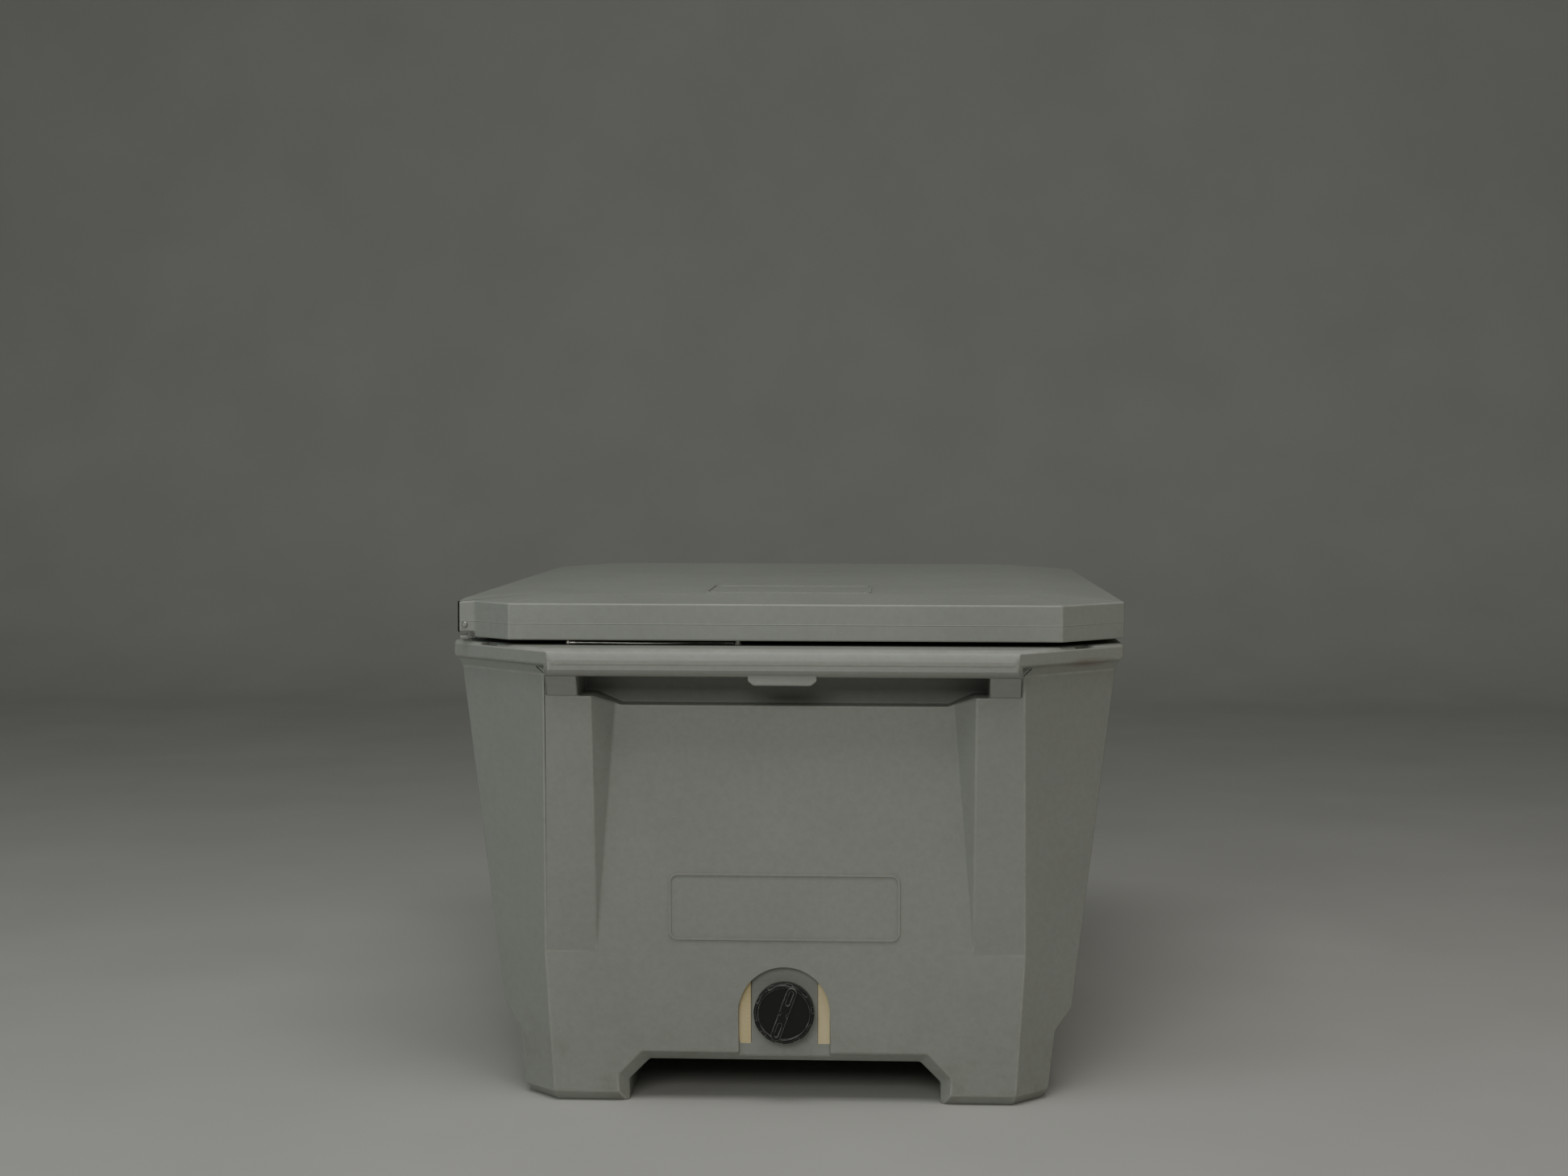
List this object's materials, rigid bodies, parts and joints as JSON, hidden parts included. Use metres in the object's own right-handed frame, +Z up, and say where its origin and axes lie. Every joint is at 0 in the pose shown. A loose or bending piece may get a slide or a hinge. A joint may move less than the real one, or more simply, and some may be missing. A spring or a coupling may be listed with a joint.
{
  "type": "cooler chest",
  "caption": "Large insulated cooler chest with a hinged lid, end handle bars, rubber side latches and a screw-cap drain.",
  "frame": {"origin": "middle of the footprint, at the height of the floor", "axes": "+Z up, +Y along the length away from the drain end, +X across towards the latch side"},
  "size_m": [0.762, 1.077, 0.575],
  "materials": {
    "moulded_polyethylene": "satin moulded",
    "insulating_foam": "cellular",
    "black_rubber": "matt",
    "stainless_steel": "brushed",
    "grey_plastic": "moulded",
    "black_plastic": "moulded"
  },
  "bodies": {
    "tub": {"tub_shell": "moulded_polyethylene", "tub_foam": "insulating_foam", "hinge_bracket_drain_end": "stainless_steel", "hinge_bracket_middle": "stainless_steel", "hinge_bracket_far_end": "stainless_steel", "hinge_bracket_screws": "stainless_steel", "latch_keeper_drain_end": "stainless_steel", "latch_keeper_far_end": "stainless_steel", "latch_keeper_screws": "stainless_steel", "drain_spigot": "grey_plastic", "drain_flange_gasket": "black_rubber", "drain_inner_gasket": "black_rubber", "drain_inner_nut": "grey_plastic", "stay_rim_eye": "stainless_steel", "stay_rim_screw": "stainless_steel"},
    "lid": {"lid_shell": "moulded_polyethylene", "lid_foam": "insulating_foam", "lid_gasket": "black_rubber", "hinge_rod": "stainless_steel", "latch_pin_drain_end": "stainless_steel", "latch_pin_far_end": "stainless_steel", "stay_lid_fitting": "stainless_steel", "stay_cable": "stainless_steel"},
    "drain_end_latch": {"latch_strap_drain_end": "black_rubber"},
    "far_end_latch": {"latch_strap_far_end": "black_rubber"},
    "cap_travel": {"drain_cap_seal": "black_rubber"},
    "cap": {"drain_cap": "black_plastic"}
  },
  "joints": [
    {"name": "lid_hinge", "type": "hinge", "parent": "tub", "child": "lid", "pos_m": [-0.363, 0, 0.5396], "axis": [0, -1, 0], "range_deg": [0, 95], "deforming": ["stay_cable"]},
    {"name": "drain_end_latch_pivot", "type": "hinge", "parent": "lid", "child": "drain_end_latch", "pos_m": [0.3715, -0.23, 0.541], "axis": [0, -1, 0], "range_deg": [-6, 110]},
    {"name": "far_end_latch_pivot", "type": "hinge", "parent": "lid", "child": "far_end_latch", "pos_m": [0.3715, 0.23, 0.541], "axis": [0, -1, 0], "range_deg": [-6, 110]},
    {"name": "cap_slide", "type": "slide", "parent": "tub", "child": "cap_travel", "axis": [0, -1, 0], "range_m": [0, 0.0081]},
    {"name": "cap_turn", "type": "hinge", "parent": "cap_travel", "child": "cap", "pos_m": [0, -0.47, 0.106], "axis": [0, -1, 0], "range_deg": [0, 720]}
  ],
  "couplings": [
    {"joint": "cap_slide", "follows": "cap_turn", "m_per_rad": 0.00063662}
  ]
}
